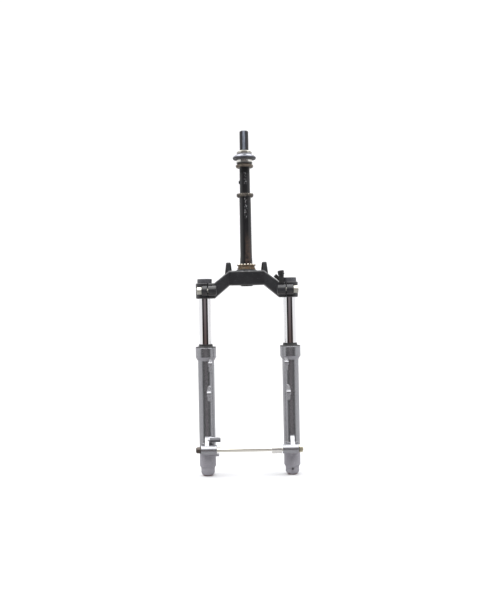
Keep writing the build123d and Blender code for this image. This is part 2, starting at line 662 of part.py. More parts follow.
def drain_screw():
    """Oil drain screw in the toe of the rider's left leg."""
    toe = -TOE_D / 2
    shank = Pos(0, toe + 1.4, DRAIN_Z) * Rot(90, 0, 0) * Cylinder(2.5, 3.6)
    head = Pos(0, toe - 0.6, DRAIN_Z) * Rot(90, 0, 0) * Cylinder(DRAIN_HEAD_D / 2, 1.2)
    slot = block(-0.4, 0.4, toe - 2, toe - 0.7, DRAIN_Z - 5, DRAIN_Z + 5)
    return shank + head - slot


# ---------------------------------------------------------------- wheel axle
def on_axle(shape):
    """Turns a shape drawn along Z from the origin to lie along X on the axle."""
    return Pos(0, AXLE_Y, AXLE_Z) * Rot(0, 90, 0) * shape


def wheel_axle():
    """Through axle with a domed head on the rider's right and a thread on the left."""
    seat = AXLE_RIGHT_X - WASHER_T - 0.1
    start, end = AXLE_START_X, AXLE_END_X
    head_r, axle_r = AXLE_HEAD_D / 2, AXLE_D / 2
    return on_axle(turned([
        (0, start), (head_r - 3, start), (head_r - 0.6, start + 1.8), (head_r, start + 4.5),
        (head_r, seat), (axle_r, seat), (axle_r, end - 1), (axle_r - 1, end), (0, end),
    ]))


def axle_washers():
    washers = []
    for start in (AXLE_RIGHT_X - WASHER_T - 0.05, AXLE_LEFT_X + 0.05):
        washers.append(on_axle(tube(AXLE_WASHER_D, AXLE_D + 2 * FIT, start, start + WASHER_T)))
    return Compound(children=washers)


def axle_nut():
    low = AXLE_LEFT_X + WASHER_T + 0.1
    high = low + AXLE_NUT_LEN
    blank = Pos(0, 0, low) * hexagon_bar(AXLE_NUT_AF, AXLE_NUT_LEN)
    corner_r = AXLE_NUT_AF / 2 + 1.3
    envelope = turned([
        (0, low), (corner_r - 0.8, low), (corner_r, low + 0.6), (corner_r, high - 1.5),
        (corner_r - 1.4, high), (0, high),
    ])
    return on_axle((blank & envelope) - rod(AXLE_D + 2 * FIT, low - 1, high + 1))


def wheel_spacer():
    """Stepped sleeve between the hub and the rider's left leg, loose on the axle."""
    inner, outer = AXLE_D / 2 + 0.1, SPACER_D / 2
    waist = (SPACER_X0 + SPACER_X1) / 2 + 2.5
    return on_axle(turned([
        (inner, SPACER_X0), (outer - 0.6, SPACER_X0), (outer, SPACER_X0 + 0.6),
        (outer, waist - 1.2), (outer - 1.3, waist - 0.6), (outer - 1.3, waist + 0.6),
        (outer, waist + 1.2), (outer, SPACER_X1 - 0.6), (outer - 0.6, SPACER_X1),
        (inner, SPACER_X1),
    ]))


# ---------------------------------------------------------------- all pieces
def build():
    save("steering_stem", steering_stem())
    save("fork_crown", fork_crown())
    save("hose_guide", hose_guide())
    save("hose_guide_screw", hose_guide_screw())
    save("stem_dust_seal", stem_dust_seal())
    save("crown_race", crown_race())
    save("lower_bearing_cage", lower_bearing_cage())
    save("lower_bearing_balls",
         ball_ring(LOWER_BALL_D, LOWER_PITCH_D, LOWER_BALLS, LOWER_BALL_Z))
    save("upper_bearing_cage", upper_bearing_cage())
    save("upper_bearing_balls",
         ball_ring(UPPER_BALL_D, UPPER_PITCH_D, UPPER_BALLS, UPPER_BALL_Z))
    save("upper_cup", upper_cup())
    save("top_cone", top_cone())
    save("lock_nut", lock_nut())

    shared = {
        "stanchion": stanchion(), "leg_cap": leg_cap(), "top_plug": top_plug(),
        "plug_o_ring": plug_o_ring(), "plug_clip": plug_clip(),
        "main_spring": main_spring(), "slide_bush": slide_bush(),
        "guide_bush": guide_bush(), "backup_washer": backup_washer(),
        "oil_seal": oil_seal(), "seal_clip": seal_clip(), "dust_seal": dust_seal(),
        "damper_rod": damper_rod(), "piston_ring": piston_ring(),
        "rebound_spring": rebound_spring(), "oil_lock": oil_lock(),
        "bottom_washer": bottom_washer(), "bottom_bolt": bottom_bolt(),
    }
    for name, side in SIDES:
        for piece, shape in shared.items():
            save(f"{name}_{piece}", at_leg(side, shape))
        save(f"{name}_pinch_bolt", at_leg(side, pinch_bolt(side)))
        save(f"{name}_slider", at_leg(side, slider(side)))
    save("left_drain_screw", at_leg(LEFT, drain_screw()))

    save("wheel_axle", wheel_axle())
    save("axle_washers", axle_washers())
    save("axle_nut", axle_nut())
    save("wheel_spacer", wheel_spacer())


build()
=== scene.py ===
import math

import bpy
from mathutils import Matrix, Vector


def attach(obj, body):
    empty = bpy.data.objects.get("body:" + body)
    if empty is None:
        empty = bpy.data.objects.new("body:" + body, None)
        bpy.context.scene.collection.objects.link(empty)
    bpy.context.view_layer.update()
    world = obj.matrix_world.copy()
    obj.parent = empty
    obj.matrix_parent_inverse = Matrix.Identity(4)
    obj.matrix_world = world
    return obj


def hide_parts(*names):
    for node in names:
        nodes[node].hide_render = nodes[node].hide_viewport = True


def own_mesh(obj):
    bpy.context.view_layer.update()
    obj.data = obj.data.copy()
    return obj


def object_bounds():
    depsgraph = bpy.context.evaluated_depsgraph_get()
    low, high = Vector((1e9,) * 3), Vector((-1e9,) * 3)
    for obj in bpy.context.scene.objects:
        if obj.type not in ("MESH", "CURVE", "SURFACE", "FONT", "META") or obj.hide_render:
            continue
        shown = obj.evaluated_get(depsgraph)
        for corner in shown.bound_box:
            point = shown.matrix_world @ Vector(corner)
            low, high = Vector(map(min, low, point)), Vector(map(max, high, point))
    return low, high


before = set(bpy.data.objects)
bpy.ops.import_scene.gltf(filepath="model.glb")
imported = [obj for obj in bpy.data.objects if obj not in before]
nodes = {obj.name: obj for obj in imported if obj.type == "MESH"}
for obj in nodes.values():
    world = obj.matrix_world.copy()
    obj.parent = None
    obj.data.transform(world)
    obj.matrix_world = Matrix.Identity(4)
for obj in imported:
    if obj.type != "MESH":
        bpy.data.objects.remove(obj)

cad_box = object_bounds()


# ---------------------------------------------------------------- colours
def tone(red, green, blue):
    """A display colour, 0 to 255, as the linear colour that a shader takes."""
    linear = []
    for value in (red, green, blue):
        share = value / 255
        linear.append(share / 12.92 if share <= 0.04045 else ((share + 0.055) / 1.055) ** 2.4)
    return (*linear, 1.0)


# ---------------------------------------------------------------- node graphs
class Graph:
    """A material's node tree, with a short call for each kind of node used here."""

    def __init__(self, name, roughness=0.5, metallic=0.0, **fixed):
        self.material = bpy.data.materials.new(name)
        self.material.use_nodes = True
        self.tree = self.material.node_tree
        self.shader = self.tree.nodes["Principled BSDF"]
        self.shader.inputs["Roughness"].default_value = roughness
        self.shader.inputs["Metallic"].default_value = metallic
        for socket, value in fixed.items():
            self.shader.inputs[socket.replace("_", " ")].default_value = value
        place = self.tree.nodes.new("ShaderNodeTexCoord")
        self.place = place.outputs["Object"]
        split = self.tree.nodes.new("ShaderNodeSeparateXYZ")
        self.tree.links.new(self.place, split.inputs[0])
        self.x, self.y, self.z = split.outputs

    def put(self, value, socket):
        """Links a socket, or sets a constant, on a node's input."""
        if isinstance(value, bpy.types.NodeSocket):
            self.tree.links.new(value, socket)
        else:
            socket.default_value = value

    def math(self, operation, first, second=0.0, third=0.0, clamp=False):
        node = self.tree.nodes.new("ShaderNodeMath")
        node.operation = operation
        node.use_clamp = clamp
        for value, socket in zip((first, second, third), node.inputs):
            self.put(value, socket)
        return node.outputs[0]

    def band(self, value, low, high, soft):
        """1 where value lies between low and high, falling to 0 over soft."""
        rise = self.step(value, low - soft, low)
        fall = self.step(value, high, high + soft)
        return self.math("MULTIPLY", rise, self.math("SUBTRACT", 1.0, fall))

    def step(self, value, low, high):
        """0 below low, 1 above high, and a smooth rise between."""
        node = self.tree.nodes.new("ShaderNodeMapRange")
        node.interpolation_type = "SMOOTHSTEP"
        self.put(value, node.inputs["Value"])
        node.inputs["From Min"].default_value = low
        node.inputs["From Max"].default_value = high
        return node.outputs["Result"]

    def noise(self, scale, detail=4.0, roughness=0.6, stretch=(1, 1, 1), seed=0.0):
        """Fractal noise of 0 to 1. scale is features per metre."""
        mapping = self.tree.nodes.new("ShaderNodeMapping")
        self.tree.links.new(self.place, mapping.inputs["Vector"])
        mapping.inputs["Scale"].default_value = stretch
        mapping.inputs["Location"].default_value = (seed, seed * 0.7, seed * 1.3)
        node = self.tree.nodes.new("ShaderNodeTexNoise")
        self.tree.links.new(mapping.outputs[0], node.inputs["Vector"])
        node.inputs["Scale"].default_value = scale
        node.inputs["Detail"].default_value = detail
        node.inputs["Roughness"].default_value = roughness
        return node.outputs["Fac"]

    def cells(self, scale, stretch=(1, 1, 1)):
        """Distance to the nearest random point, for chips, pits and grains."""
        mapping = self.tree.nodes.new("ShaderNodeMapping")
        self.tree.links.new(self.place, mapping.inputs["Vector"])
        mapping.inputs["Scale"].default_value = stretch
        node = self.tree.nodes.new("ShaderNodeTexVoronoi")
        self.tree.links.new(mapping.outputs[0], node.inputs["Vector"])
        node.inputs["Scale"].default_value = scale
        return node.outputs["Distance"]

    def mix(self, share, first, second):
        node = self.tree.nodes.new("ShaderNodeMix")
        node.data_type = "RGBA"
        self.put(share, node.inputs["Factor"])
        self.put(first, node.inputs["A"])
        self.put(second, node.inputs["B"])
        return node.outputs["Result"]

    def edges(self, radius, low=0.02, high=0.25):
        """1 on convex and concave edges, from the difference a small bevel makes."""
        bevel = self.tree.nodes.new("ShaderNodeBevel")
        bevel.samples = 6
        bevel.inputs["Radius"].default_value = radius
        flat = self.tree.nodes.new("ShaderNodeNewGeometry")
        dot = self.tree.nodes.new("ShaderNodeVectorMath")
        dot.operation = "DOT_PRODUCT"
        self.tree.links.new(bevel.outputs[0], dot.inputs[0])
        self.tree.links.new(flat.outputs["Normal"], dot.inputs[1])
        return self.step(self.math("SUBTRACT", 1.0, dot.outputs["Value"]), low, high)

    def facing(self):
        """The surface's own direction, as three sockets."""
        flat = self.tree.nodes.new("ShaderNodeNewGeometry")
        split = self.tree.nodes.new("ShaderNodeSeparateXYZ")
        self.tree.links.new(flat.outputs["Normal"], split.inputs[0])
        return split.outputs

    def lying(self):
        """1 on the top and the underside of a level bar."""
        nz = self.facing()[2]
        return self.step(self.math("ABSOLUTE", nz), 0.74, 0.95)

    def bump(self, height, depth, blend=0.0):
        """Relief of the given depth in metres, over edges that blend at a cast radius."""
        node = self.tree.nodes.new("ShaderNodeBump")
        node.inputs["Distance"].default_value = depth
        self.put(height, node.inputs["Height"])
        if blend:
            bevel = self.tree.nodes.new("ShaderNodeBevel")
            bevel.samples = 8
            bevel.inputs["Radius"].default_value = blend
            self.tree.links.new(bevel.outputs[0], node.inputs["Normal"])
        self.tree.links.new(node.outputs[0], self.shader.inputs["Normal"])

    def colour(self, value):
        self.put(value, self.shader.inputs["Base Color"])

    def roughness(self, value):
        self.put(value, self.shader.inputs["Roughness"])

    def metallic(self, value):
        self.put(value, self.shader.inputs["Metallic"])


# ---------------------------------------------------------------- materials
def stem_paint():
    """Gloss black over steel: small chips down the front, brown stain low on the left.

    The spigot's pale streak down the front is a painted highlight.
    """
    g = Graph("stem_paint", roughness=0.3)
    cloud = g.noise(60, 5)
    base = g.mix(cloud, tone(12, 12, 13), tone(24, 24, 27))
    front = g.step(g.math("MULTIPLY", g.y, -1.0), 0.009, 0.012)
    middle = g.band(g.x, -0.0012, 0.0035, 0.0022)
    upper = g.band(g.z, 0.226, 0.25, 0.006)
    lower = g.band(g.z, 0.14, 0.184, 0.008)
    zone = g.math("MULTIPLY", g.math("MULTIPLY", front, middle), g.math("MAXIMUM", upper, lower))
    grains = g.step(g.noise(520, 2, 0.5, (1, 1, 0.7)), 0.6, 0.66)
    chips = g.math("MULTIPLY", zone, grains)
    stain_place = g.math("MULTIPLY", g.band(g.x, 0.001, 0.009, 0.006),
                         g.band(g.z, 0.012, 0.06, 0.05))
    stain = g.math("MULTIPLY", stain_place, g.step(g.noise(150, 6, 0.7), 0.34, 0.66))
    worn = g.step(g.noise(900, 3, 0.7, (1, 1, 0.08)), 0.62, 0.72)
    colour = g.mix(g.math("MULTIPLY", worn, 0.3), base, tone(54, 55, 60))
    # Painted highlight: a pale streak down the front of the spigot, made patchy by noise.
    spigot = g.math("MULTIPLY", g.step(g.math("MULTIPLY", g.y, -1.0), 0.007, 0.009),
                    g.step(g.z, 0.309, 0.313))
    streak = g.math("MULTIPLY", spigot, g.band(g.x, -0.0022, 0.0012, 0.0034))
    rub_and_sheen = g.step(g.noise(300, 4, 0.7, (1, 1, 0.3), seed=13.0), 0.3, 0.6)
    colour = g.mix(g.math("MULTIPLY", streak, g.math("MULTIPLY_ADD", rub_and_sheen, 0.4, 0.5)),
                   colour, tone(128, 134, 146))
    colour = g.mix(g.math("MULTIPLY", stain, 0.8), colour, tone(74, 54, 42))
    colour = g.mix(g.math("MULTIPLY", chips, 0.85), colour, tone(190, 190, 194))
    g.colour(colour)
    g.roughness(g.math("MULTIPLY_ADD", cloud, 0.2, g.math("MULTIPLY_ADD", stain, 0.35, 0.22)))
    g.bump(g.math("SUBTRACT", g.noise(500, 3), chips), 0.00006)
    return g.material


def crown_paint():
    """Satin charcoal over a casting, worn pale on its edges, and paler in patches along its
    upward-facing top edge.

    The ears' inner faces are painted dark: painted shade.
    """
    g = Graph("crown_paint", roughness=0.4)
    cloud = g.noise(38, 6, 0.65)
    peel = g.noise(950, 2, 0.5)
    base = g.mix(cloud, tone(18, 18, 20), tone(38, 38, 42))
    smear = g.step(g.noise(120, 5, 0.7, (1, 1, 2.5), seed=2.0), 0.54, 0.72)
    base = g.mix(g.math("MULTIPLY", smear, 0.35), base, tone(64, 64, 69))
    facing = g.facing()
    nx, nz = facing[0], facing[2]
    # Paler in patches along the upward-facing top edge; worn holds these patches and the worn
    # edges.
    shoulder = g.math("MULTIPLY", g.band(g.z, -0.004, 0.0005, 0.004), g.step(nz, 0.25, 0.7))
    pale_shoulder = g.math("MULTIPLY", shoulder, g.step(g.noise(85, 6, 0.75, seed=5.0), 0.47, 0.68))
    rub_and_sheen = g.math("MULTIPLY", g.edges(0.0016), g.step(g.noise(160, 5, 0.7, seed=4.0), 0.42, 0.62))
    worn = g.math("MAXIMUM", g.math("MULTIPLY", rub_and_sheen, 0.8), g.math("MULTIPLY", pale_shoulder, 0.6))
    colour = g.mix(worn, base, tone(150, 150, 154))
    speck = g.step(g.noise(520, 3, 0.6, seed=9.0), 0.67, 0.75)
    colour = g.mix(g.math("MULTIPLY", speck, 0.5), colour, tone(150, 150, 154))
    under = g.math("MULTIPLY", g.step(g.math("MULTIPLY", nz, -1.0), 0.3, 0.8),
                   g.step(g.noise(110, 5, 0.7, seed=7.0), 0.42, 0.62))
    colour = g.mix(g.math("MULTIPLY", under, 0.35), colour, tone(70, 58, 48))
    # Painted shade: faces turned towards the middle above the crown's top, the ears' inner sides,
    # are darkened.
    inward = g.math("MULTIPLY", g.math("MULTIPLY", nx, -1.0), g.math("SIGN", g.x))
    ear_inner_shade = g.math("MULTIPLY", g.step(inward, 0.3, 0.7), g.step(g.z, 0.0005, 0.004))
    colour = g.mix(g.math("MULTIPLY", ear_inner_shade, 0.9), colour, tone(12, 12, 13))
    g.colour(colour)
    dull = g.math("MAXIMUM", g.math("MULTIPLY", worn, 0.2), g.math("MULTIPLY", ear_inner_shade, 0.4))
    g.roughness(g.math("ADD", g.math("MULTIPLY_ADD", cloud, 0.2, 0.28), dull))
    g.bump(g.math("MULTIPLY_ADD", cloud, 0.5, peel), 0.00012, blend=0.0022)
    return g.material


CAST_SKIN_TOP = (-0.4625, -0.4585)   # heights between which the sliders' cast skin ends


def slider_paint():
    """Metallic grey paint: fine flake and scratches, cast skin below the axle."""
    g = Graph("slider_paint", roughness=0.24, metallic=0.8)
    cloud = g.noise(28, 5, 0.6)
    flake = g.noise(2600, 1, 0.4)
    facing = g.facing()
    ny, nz = facing[1], facing[2]
    base = g.mix(cloud, tone(140, 140, 144), tone(158, 158, 161))
    base = g.mix(g.math("MULTIPLY", flake, 0.25), base, tone(178, 178, 182))
    above = g.step(g.z, *CAST_SKIN_TOP)
    below = g.math("SUBTRACT", 1.0, above)
    under = g.math("MULTIPLY", above, g.step(g.math("MULTIPLY", nz, -1.0), 0.25, 0.6))
    skin = g.math("MAXIMUM", below, g.math("MULTIPLY", under, 0.7))
    grains = g.noise(420, 4, 0.6, seed=8.0)
    cast = g.mix(grains, tone(128, 126, 132), tone(156, 154, 160))
    base = g.mix(skin, base, cast)
    streak = g.step(g.noise(1400, 2, 0.6, (1, 1, 0.05)), 0.66, 0.74)
    colour = g.mix(g.math("MULTIPLY", streak, 0.3), base, tone(196, 196, 200))
    scratch = g.step(g.noise(700, 2, 0.5, (1, 1, 0.12), seed=11.0), 0.69, 0.73)
    colour = g.mix(g.math("MULTIPLY", scratch, 0.45), colour, tone(210, 210, 212))
    rub_and_sheen = g.math("MULTIPLY", g.edges(0.0012), g.step(g.noise(240, 4, 0.7), 0.45, 0.6))
    colour = g.mix(g.math("MULTIPLY", rub_and_sheen, 0.5), colour, tone(222, 222, 224))
    # Painted shade on the front of the speedometer stop, on the rider's right leg. The CAD
    # shape's slope catches more light than the real one, and this hides that.
    stop = g.math("MULTIPLY", g.band(g.x, -0.0995, -0.0725, 0.0008),
                  g.band(g.z, -0.431, -0.4195, 0.0012))
    front = g.math("MULTIPLY", stop, g.step(g.math("MULTIPLY", ny, -1.0), 0.3, 0.5))
    colour = g.mix(g.math("MULTIPLY", front, 0.85), colour, tone(52, 52, 56))
    g.colour(colour)
    g.metallic(g.math("MULTIPLY_ADD", g.math("MAXIMUM", skin, front), -0.6, 0.85))
    g.roughness(g.math("MULTIPLY_ADD", skin, 0.4, g.math("MULTIPLY_ADD", cloud, 0.1, 0.2)))
    relief = g.math("MULTIPLY_ADD", g.math("MULTIPLY", grains, skin), 1.6,
                    g.math("MULTIPLY", flake, 0.12))
    g.bump(relief, 0.0001, blend=0.0018)
    return g.material


def bare_metal(name, dark, light, rough, stain=None, stain_share=0.0, grain=(1, 1, 1), scale=90,
               shaded=None):
    """Uncoated or plated metal with clouding, tool marks, and optional stains and shade."""
    g = Graph(name, roughness=rough, metallic=1.0)
    cloud = g.noise(scale, 5, 0.65)
    marks = g.noise(1500, 3, 0.6, grain)
    colour = g.mix(cloud, dark, light)
    rough_value = g.math("MULTIPLY_ADD", marks, 0.12, rough - 0.04)
    if stain:
        limit = 0.72 - 0.4 * stain_share
        spots = g.step(g.noise(scale * 2.2, 6, 0.7, seed=3.0), limit, limit + 0.1)
        colour = g.mix(spots, colour, stain)
        rough_value = g.math("MULTIPLY_ADD", spots, 0.3, rough_value)
        g.metallic(g.math("MULTIPLY_ADD", spots, -0.6, 1.0))
    if shaded:
        # Painted shade on the top and underside, so that a lying bar's outline shows.
        colour = g.mix(g.math("MULTIPLY", g.lying(), 0.7), colour, shaded)
    g.colour(colour)
    g.roughness(rough_value)
    g.bump(marks, 0.00003)
    return g.material


def hard_chrome():
    """Hard chrome: mirror bright, with faint rubbing marks along the travel.

    The brown strip low down the front is painted, in place of a reflection of the room.
    """
    g = Graph("hard_chrome", roughness=0.06, metallic=1.0)
    rub = g.noise(1800, 3, 0.6, (1, 1, 0.03))
    cloud = g.noise(40, 4, 0.6)
    colour = g.mix(cloud, tone(236, 236, 239), tone(248, 248, 248))
    low = g.math("SUBTRACT", 1.0, g.step(g.z, -0.19, -0.08))
    ny = g.facing()[1]
    front = g.math("MULTIPLY", low, g.step(g.math("MULTIPLY", ny, -1.0), 0.84, 0.93))
    colour = g.mix(g.math("MULTIPLY", front, 0.6), colour, tone(176, 146, 128))
    g.colour(colour)
    g.roughness(g.math("MULTIPLY_ADD", rub, 0.06, g.math("MULTIPLY_ADD", low, 0.04, 0.03)))
    g.bump(rub, 0.000008)
    return g.material


def cone_steel():
    """Adjusting cone: polished race and steel skirt.

    The two dark rings are a painted reflection, and the dark underside is painted shade.
    They may be grease, shade or reflections.
    """
    g = Graph("cone_steel", roughness=0.25, metallic=1.0)
    cloud = g.noise(110, 5, 0.65)
    marks = g.noise(1500, 3, 0.6, (1, 1, 0.1))
    nz = g.facing()[2]
    race = g.math("SUBTRACT", 1.0, g.step(g.z, 0.2868, 0.2882))
    colour = g.mix(cloud, tone(122, 124, 134), tone(154, 155, 163))
    colour = g.mix(race, colour, g.mix(cloud, tone(214, 212, 206), tone(240, 239, 234)))
    # Painted reflection: two dark rings round the race. Painted shade: downward faces low on the
    # cone.
    reflection_bands = g.math("MAXIMUM", g.band(g.z, 0.2852, 0.2914, 0.0008),
                   g.band(g.z, 0.2740, 0.2792, 0.0008))
    downward = g.step(g.math("MULTIPLY", nz, -1.0), 0.3, 0.7)
    under = g.math("MULTIPLY", downward, g.step(g.z, 0.28, 0.284))
    spots = g.step(g.noise(240, 6, 0.7, seed=3.0), 0.6, 0.7)
    # dark holds the painted reflection, the painted shade and random dark spots.
    dark = g.math("MAXIMUM", g.math("MAXIMUM", reflection_bands, under), g.math("MULTIPLY", spots, 0.5))
    colour = g.mix(g.math("MULTIPLY", dark, 0.85), colour, tone(30, 29, 30))
    g.colour(colour)
    g.metallic(g.math("MULTIPLY_ADD", dark, -0.7, 1.0))
    g.roughness(g.math("MULTIPLY_ADD", marks, 0.12, g.math("MULTIPLY_ADD", dark, 0.3, 0.2)))
    g.bump(marks, 0.00003)
    return g.material


def axle_zinc():
    """Bright zinc rod with a dark head, which is outside the rider's right leg.

    Its darker top and underside are painted shade, so that the bar's outline shows.
    """
    g = Graph("axle_zinc", roughness=0.35, metallic=1.0)
    cloud = g.noise(90, 5, 0.65)
    marks = g.noise(1500, 3, 0.6)
    colour = g.mix(cloud, tone(240, 236, 222), tone(252, 250, 240))
    spots = g.step(g.noise(198, 6, 0.7, seed=3.0), 0.66, 0.76)
    colour = g.mix(g.math("MULTIPLY", spots, 0.5), colour, tone(190, 164, 122))
    colour = g.mix(g.math("MULTIPLY", g.lying(), 0.7), colour, tone(150, 138, 108))
    head = g.math("SUBTRACT", 1.0, g.step(g.x, -0.1232, -0.1222))
    colour = g.mix(head, colour, g.mix(cloud, tone(58, 52, 48), tone(96, 88, 82)))
    g.colour(colour)
    g.metallic(g.math("MULTIPLY_ADD", head, -0.4, 1.0))
    g.roughness(g.math("MULTIPLY_ADD", marks, 0.12, 0.28))
    g.bump(marks, 0.00003)
    return g.material


def dull_rubber(name, dark, light, rough=0.6, dust=tone(120, 118, 116), dust_share=0.2):
    """Rubber or matt plastic with a fine grain and dust in its grain."""
    g = Graph(name, roughness=rough)
    cloud = g.noise(70, 5, 0.6)
    grain = g.noise(1300, 2, 0.5)
    colour = g.mix(cloud, dark, light)
    dusty = g.math("MULTIPLY", g.step(g.noise(210, 5, 0.75, seed=6.0), 0.5, 0.72), dust_share)
    colour = g.mix(dusty, colour, dust)
    g.colour(colour)
    g.roughness(g.math("MULTIPLY_ADD", cloud, 0.2, rough - 0.1))
    g.bump(grain, 0.00008)
    return g.material


def rusted(name, metal, brown, dark, share, rough=0.45):
    """Bearing steel under rust and old grease, with pits."""
    g = Graph(name, roughness=rough, metallic=0.6)
    cloud = g.noise(160, 6, 0.7)
    limit = 0.62 - 0.3 * share
    rust = g.step(cloud, limit - 0.1, limit + 0.08)
    grease = g.step(g.noise(90, 4, 0.6, seed=2.0), 0.52, 0.68)
    colour = g.mix(rust, metal, brown)
    colour = g.mix(g.math("MULTIPLY", grease, 0.7), colour, dark)
    g.colour(colour)
    g.metallic(g.math("MULTIPLY_ADD", rust, -0.6, 0.8))
    g.roughness(g.math("MULTIPLY_ADD", rust, 0.3, rough - 0.15))
    g.bump(g.math("MULTIPLY_ADD", g.cells(900), 0.5, cloud), 0.0002)
    return g.material


MATERIALS = {
    "stem": stem_paint(),
    "crown": crown_paint(),
    "slider": slider_paint(),
    "chrome": hard_chrome(),
    "cap": dull_rubber("cap_plastic", tone(52, 52, 56), tone(74, 74, 79), 0.5),
    "guide": dull_rubber("guide_plastic", tone(14, 14, 14), tone(30, 30, 31), 0.45, dust_share=0.1),
    "screw": bare_metal("black_screw", tone(30, 30, 32), tone(52, 52, 55), 0.35),
    "rubber": dull_rubber("black_rubber", tone(14, 14, 16), tone(28, 28, 32), dust_share=0.1),
    "wiper": dull_rubber("wiper_rubber", tone(10, 10, 12), tone(24, 24, 27), 0.4, dust_share=0.15),
    "race": rusted("race_rust", tone(140, 130, 112), tone(104, 84, 62), tone(46, 40, 34), 0.6),
    "cup": rusted("cup_rust", tone(132, 124, 112), tone(90, 80, 70), tone(42, 38, 36), 0.6),
    "cage": rusted("cage_brown", tone(116, 110, 102), tone(72, 66, 60), tone(34, 32, 31), 0.6),
    "ball": bare_metal("ball_steel", tone(216, 206, 188), tone(238, 234, 224), 0.14,
                       tone(150, 116, 76), 0.25),
    "cone": cone_steel(),
    "cone_nut": bare_metal("lock_nut_zinc", tone(150, 148, 140), tone(184, 182, 172), 0.36,
                           tone(96, 88, 80), 0.25),
    "bolt": bare_metal("bolt_zinc", tone(186, 185, 176), tone(214, 213, 204), 0.5,
                       tone(104, 80, 62), 0.3),
    "axle": axle_zinc(),
    "nut": bare_metal("nut_zinc", tone(222, 216, 184), tone(242, 238, 216), 0.34,
                      tone(160, 134, 92), 0.2),
    "spacer": bare_metal("spacer_zinc", tone(246, 244, 238), tone(255, 254, 250), 0.3,
                         tone(196, 168, 138), 0.12, shaded=tone(140, 128, 112)),
    "dark": bare_metal("dark_steel", tone(58, 54, 54), tone(96, 92, 90), 0.35,
                       tone(70, 48, 38), 0.4),
    "copper": bare_metal("copper_washer", tone(96, 46, 40), tone(132, 72, 60), 0.4,
                         tone(54, 32, 30), 0.4),
    "washer": bare_metal("black_washer", tone(22, 21, 21), tone(44, 41, 39), 0.4),
    "steel": bare_metal("plain_steel", tone(170, 170, 174), tone(200, 200, 203), 0.25),
    "alloy": bare_metal("plain_alloy", tone(188, 188, 192), tone(214, 214, 216), 0.3),
    "spring": bare_metal("spring_steel", tone(86, 86, 92), tone(120, 120, 126), 0.3),
    "bronze": bare_metal("bush_bronze", tone(164, 134, 84), tone(190, 162, 108), 0.35),
    "piston": dull_rubber("piston_plastic", tone(74, 62, 52), tone(96, 82, 70), 0.45),
}

FINISH = {
    "steering_stem": "stem", "fork_crown": "crown", "hose_guide": "guide",
    "hose_guide_screw": "screw", "stem_dust_seal": "rubber", "crown_race": "race",
    "lower_bearing_cage": "race", "lower_bearing_balls": "ball",
    "upper_bearing_cage": "cage", "upper_bearing_balls": "ball", "upper_cup": "cup",
    "top_cone": "cone", "lock_nut": "cone_nut", "stanchion": "chrome", "leg_cap": "cap",
    "top_plug": "alloy", "plug_o_ring": "rubber", "plug_clip": "spring",
    "main_spring": "spring", "slide_bush": "bronze", "pinch_bolt": "bolt",
    "slider": "slider", "guide_bush": "bronze", "backup_washer": "steel",
    "oil_seal": "rubber", "seal_clip": "spring", "dust_seal": "wiper",
    "damper_rod": "steel", "piston_ring": "piston", "rebound_spring": "spring",
    "oil_lock": "alloy", "bottom_washer": "copper", "bottom_bolt": "dark",
    "drain_screw": "spring", "wheel_axle": "axle", "axle_washers": "washer",
    "axle_nut": "nut", "wheel_spacer": "spacer",
}


def finish_of(node):
    """The material for a CAD node, whichever side it is on."""
    plain = node.removeprefix("left_").removeprefix("right_")
    return MATERIALS[FINISH[plain]]


for name, node in nodes.items():
    node.data.materials.clear()
    node.data.materials.append(finish_of(name))


# ---------------------------------------------------------------- main springs
LEG_X, LEG_Y = 0.107, -0.032
SPRING_LOW, SPRING_TOP = -0.3349, -0.0441    # between the damper's head and the top plug
SPRING_R, WIRE_R, TURNS = 0.0102, 0.0018, 28
TURN_STEPS, WIRE_SIDES = 28, 10


def spring_mesh(name, side):
    """A round-wire helix on a leg's axis with flat-cut ends, as one closed mesh."""
    low, rise = SPRING_LOW + WIRE_R, SPRING_TOP - SPRING_LOW - 2 * WIRE_R
    steps = TURNS * TURN_STEPS
    slope = math.atan2(rise, 2 * math.pi * SPRING_R * TURNS)
    verts, faces = [], []
    for step in range(steps + 1):
        angle = 2 * math.pi * step / TURN_STEPS
        out = Vector((math.cos(angle), math.sin(angle), 0))
        along = Vector((-math.sin(angle), math.cos(angle), 0))
        up = Vector((0, 0, 1)) * math.cos(slope) - along * math.sin(slope)
        centre = Vector((side * LEG_X, LEG_Y, low + rise * step / steps)) + out * SPRING_R
        for corner in range(WIRE_SIDES):
            turn = 2 * math.pi * corner / WIRE_SIDES
            verts.append(centre + out * WIRE_R * math.cos(turn) + up * WIRE_R * math.sin(turn))
    for step in range(steps):
        for corner in range(WIRE_SIDES):
            a = step * WIRE_SIDES + corner
            b = step * WIRE_SIDES + (corner + 1) % WIRE_SIDES
            faces.append((a, a + WIRE_SIDES, b + WIRE_SIDES, b))
    faces.append(tuple(range(WIRE_SIDES)))
    faces.append(tuple(reversed(range(steps * WIRE_SIDES, (steps + 1) * WIRE_SIDES))))
    mesh = bpy.data.meshes.new(name)
    mesh.from_pydata(verts, [], faces)
    for face in mesh.polygons[:-2]:
        face.use_smooth = True
    return mesh


def main_springs():
    """Coil springs built at one length on the legs' axes, in place of the CAD's springs, which are
    hidden.
    """
    for label, side in (("left", 1), ("right", -1)):
        name = f"{label}_coil_spring"
        mesh = spring_mesh(name, side)
        mesh.materials.append(MATERIALS["spring"])
        spring = bpy.data.objects.new(name, mesh)
        bpy.context.scene.collection.objects.link(spring)
        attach(spring, "crown_and_stem")
        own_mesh(spring)
        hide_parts(f"{label}_main_spring")


main_springs()


# ---------------------------------------------------------------- floor, light and camera
FLOOR_Z = cad_box[0].z - 0.0002
FLOOR_FRONT, WALL_Y, WALL_TOP, BEND_R, HALF_WIDTH = -2.6, 2.4, 5.0, 0.8, 6.0
BEND_STEPS = 24
WALL_GLOW = 0.42
CEILING_GAIN = 3.0     # how much brighter the ceiling is than the room's sides
KEY_POWER, FILL_POWER, LIGHT_SIZE = 14, 8, 1.6
LIGHT_TARGET = (0, 0, -0.1)


